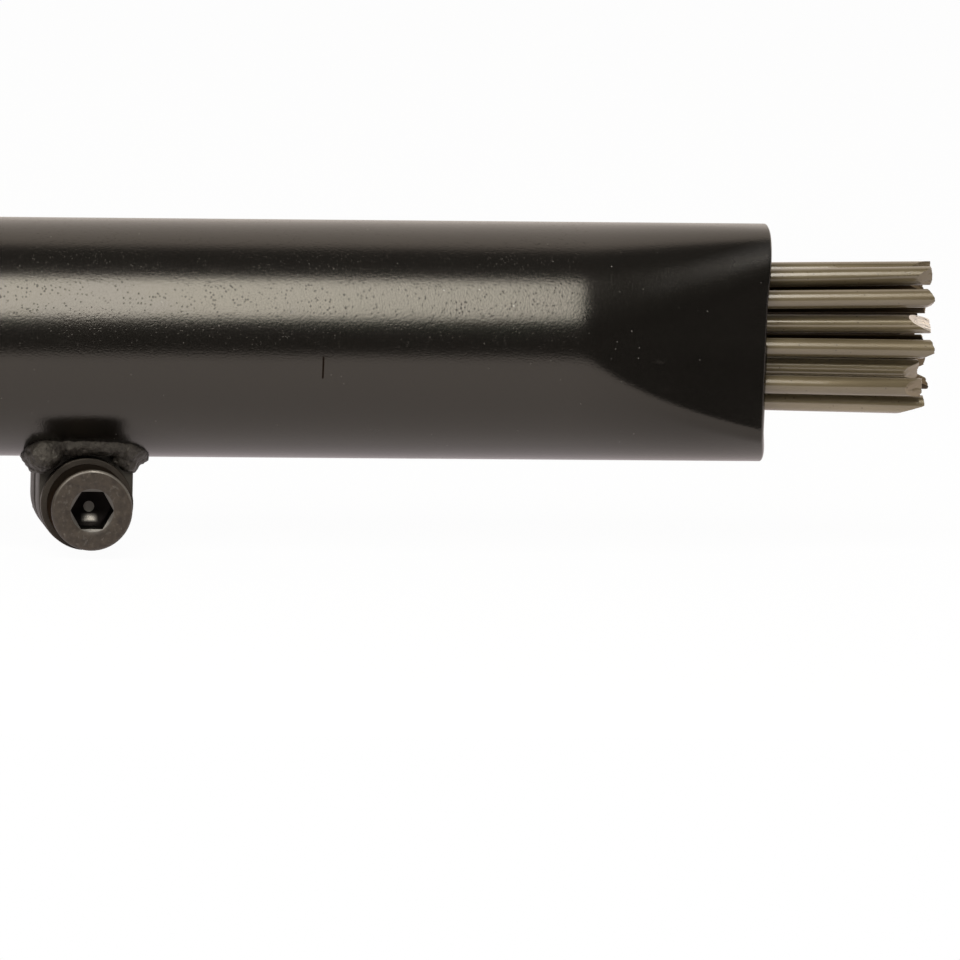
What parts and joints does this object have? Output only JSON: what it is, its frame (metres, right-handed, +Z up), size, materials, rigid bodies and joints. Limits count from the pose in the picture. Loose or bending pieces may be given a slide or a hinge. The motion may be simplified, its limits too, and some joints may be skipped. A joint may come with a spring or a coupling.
{
  "type": "needle scaler",
  "caption": "Straight air needle scaler: lever handle, barrel with exhaust deflector, and a clamped front tube pressed flat at its mouth round a bundle of loose chisel needles.",
  "frame": {"origin": "centre of the air inlet's mouth, on the tool's axis", "axes": "+X along the tool towards the needles, +Z up on the lever side, clamp lugs at -Z, clamp screw's head at -Y"},
  "size_m": [0.4134, 0.051, 0.0731],
  "materials": {
    "black_steel": "satin black over a round tube",
    "weld_bead": "rippled bead under black",
    "black_oxide": "oiled black oxide",
    "needle_steel": "drawn wire, warm grey, ground tips",
    "hard_steel": "turned and ground",
    "spring_steel": "drawn wire",
    "blued_steel": "blackened, turned",
    "cast_aluminium": "tumbled casting",
    "plated_steel": "zinc plated",
    "lever_black": "pressed sheet, black",
    "rubber": "moulded, matt",
    "brass": "turned",
    "copper": "soft washer",
    "buffer": "amber polyurethane"
  },
  "bodies": {
    "housing": {"handle": "cast_aluminium", "inlet_bush": "plated_steel", "inlet_seal": "copper", "inlet_screen": "brass", "stem_bush": "brass", "valve_cap": "plated_steel", "cap_washer_ring": "copper", "lever_pin": "plated_steel", "pin_clip": "spring_steel", "valve_seat_block": "hard_steel", "valve_cover": "hard_steel", "barrel": "blued_steel", "barrel_seal": "rubber", "deflector_seals": "rubber", "deflector_ring": "spring_steel", "barrel_grip": "rubber", "spring_retainer": "blued_steel", "anvil_buffer": "buffer", "return_spring": "spring_steel", "valve_spring": "spring_steel"},
    "lever": {"throttle_lever": "lever_black"},
    "throttle": {"throttle_valve": "hard_steel"},
    "deflector": {"exhaust_deflector": "blued_steel"},
    "flap": {"valve_disc": "hard_steel"},
    "ram": {"piston": "hard_steel"},
    "striker": {"anvil": "hard_steel"},
    "holder": {"needle_holder": "hard_steel"},
    "nose": {"front_tube": "black_steel", "near_lug": "black_steel", "far_lug": "black_steel", "lug_welds": "weld_bead", "clamp_screw": "black_oxide", "lock_washer": "black_oxide", "clamp_nut": "black_oxide"},
    "body_needle_01": {"needle_01": "needle_steel"},
    "body_needle_02": {"needle_02": "needle_steel"},
    "body_needle_03": {"needle_03": "needle_steel"},
    "body_needle_04": {"needle_04": "needle_steel"},
    "body_needle_05": {"needle_05": "needle_steel"},
    "body_needle_06": {"needle_06": "needle_steel"},
    "body_needle_07": {"needle_07": "needle_steel"},
    "body_needle_08": {"needle_08": "needle_steel"},
    "body_needle_09": {"needle_09": "needle_steel"},
    "body_needle_10": {"needle_10": "needle_steel"},
    "body_needle_11": {"needle_11": "needle_steel"},
    "body_needle_12": {"needle_12": "needle_steel"},
    "body_needle_13": {"needle_13": "needle_steel"},
    "body_needle_14": {"needle_14": "needle_steel"},
    "body_needle_15": {"needle_15": "needle_steel"},
    "body_needle_16": {"needle_16": "needle_steel"},
    "body_needle_17": {"needle_17": "needle_steel"},
    "body_needle_18": {"needle_18": "needle_steel"},
    "body_needle_19": {"needle_19": "needle_steel"}
  },
  "joints": [
    {"name": "lever_press", "type": "hinge", "parent": "housing", "child": "lever", "pos_m": [0.024, 0, 0.025], "axis": [0, 1, 0], "range_deg": [0, 7], "stiffness_Nm_per_rad": 4, "springref_deg": -5.73},
    {"name": "throttle_travel", "type": "slide", "parent": "housing", "child": "throttle", "axis": [0, 0, -1], "range_m": [0, 0.0026], "deforming": ["valve_spring"]},
    {"name": "holder_stroke", "type": "slide", "parent": "housing", "child": "holder", "axis": [1, 0, 0], "range_m": [0, 0.008], "stiffness_N_per_m": 900, "springref_m": -0.012, "deforming": ["return_spring"]},
    {"name": "anvil_stroke", "type": "slide", "parent": "housing", "child": "striker", "axis": [1, 0, 0], "range_m": [0, 0.008]},
    {"name": "piston_stroke", "type": "slide", "parent": "housing", "child": "ram", "axis": [1, 0, 0], "range_m": [-0.03, 0]},
    {"name": "flap_travel", "type": "slide", "parent": "housing", "child": "flap", "axis": [1, 0, 0], "range_m": [0, 0.0018]},
    {"name": "deflector_turn", "type": "hinge", "parent": "housing", "child": "deflector", "pos_m": [0.164, 0, 0], "axis": [1, 0, 0], "continuous": true},
    {"name": "tube_adjust", "type": "slide", "parent": "housing", "child": "nose", "axis": [1, 0, 0], "range_m": [-0.02, 0.005]},
    {"name": "needle_01_slide", "type": "slide", "parent": "holder", "child": "body_needle_01", "axis": [0.9999, 0.0056, 0.0156], "range_m": [-0.00552, 0.00048]},
    {"name": "needle_02_slide", "type": "slide", "parent": "holder", "child": "body_needle_02", "axis": [1, 0.0034, -0.005], "range_m": [-0.00558, 0.00042]},
    {"name": "needle_03_slide", "type": "slide", "parent": "holder", "child": "body_needle_03", "axis": [0.9999, 0.0025, -0.0141], "range_m": [-0.00372, 0.00228]},
    {"name": "needle_04_slide", "type": "slide", "parent": "holder", "child": "body_needle_04", "axis": [0.9997, 0.0041, 0.0233], "range_m": [-0.00576, 0.00024]},
    {"name": "needle_05_slide", "type": "slide", "parent": "holder", "child": "body_needle_05", "axis": [1, 0.0022, 0.0049], "range_m": [-0.00552, 0.00048]},
    {"name": "needle_06_slide", "type": "slide", "parent": "holder", "child": "body_needle_06", "axis": [1, 0.0006, -0.0099], "range_m": [-0.00366, 0.00234]},
    {"name": "needle_07_slide", "type": "slide", "parent": "holder", "child": "body_needle_07", "axis": [0.9999, -0.0001, -0.0167], "range_m": [-0.00456, 0.00144]},
    {"name": "needle_08_slide", "type": "slide", "parent": "holder", "child": "body_needle_08", "axis": [0.9999, 0.0015, 0.0147], "range_m": [-0.006, 0]},
    {"name": "needle_09_slide", "type": "slide", "parent": "holder", "child": "body_needle_09", "axis": [0.9999, 0.0011, 0.0102], "range_m": [-0.00528, 0.00072]},
    {"name": "needle_10_slide", "type": "slide", "parent": "holder", "child": "body_needle_10", "axis": [1, 0, 0], "range_m": [-0.0048, 0.0012]},
    {"name": "needle_11_slide", "type": "slide", "parent": "holder", "child": "body_needle_11", "axis": [1, -0.0007, -0.0068], "range_m": [-0.00576, 0.00024]},
    {"name": "needle_12_slide", "type": "slide", "parent": "holder", "child": "body_needle_12", "axis": [1, -0.0001, -0.0008], "range_m": [-0.0042, 0.0018]},
    {"name": "needle_13_slide", "type": "slide", "parent": "holder", "child": "body_needle_13", "axis": [0.9999, 0.0001, 0.0167], "range_m": [-0.0054, 0.0006]},
    {"name": "needle_14_slide", "type": "slide", "parent": "holder", "child": "body_needle_14", "axis": [1, -0.0007, 0.0088], "range_m": [-0.00432, 0.00168]},
    {"name": "needle_15_slide", "type": "slide", "parent": "holder", "child": "body_needle_15", "axis": [1, -0.0021, -0.0038], "range_m": [-0.00588, 0.00012]},
    {"name": "needle_16_slide", "type": "slide", "parent": "holder", "child": "body_needle_16", "axis": [0.9999, -0.0028, -0.0106], "range_m": [-0.00492, 0.00108]},
    {"name": "needle_17_slide", "type": "slide", "parent": "holder", "child": "body_needle_17", "axis": [0.9999, -0.0024, 0.0153], "range_m": [-0.00564, 0.00036]},
    {"name": "needle_18_slide", "type": "slide", "parent": "holder", "child": "body_needle_18", "axis": [1, -0.0037, 0.0027], "range_m": [-0.00468, 0.00132]},
    {"name": "needle_19_slide", "type": "slide", "parent": "holder", "child": "body_needle_19", "axis": [0.9999, -0.0056, -0.0156], "range_m": [-0.00528, 0.00072]}
  ],
  "couplings": [
    {"joint": "throttle_travel", "follows": "lever_press", "m_per_rad": 0.02027},
    {"joint": "anvil_stroke", "follows": "holder_stroke", "ratio": 1}
  ]
}
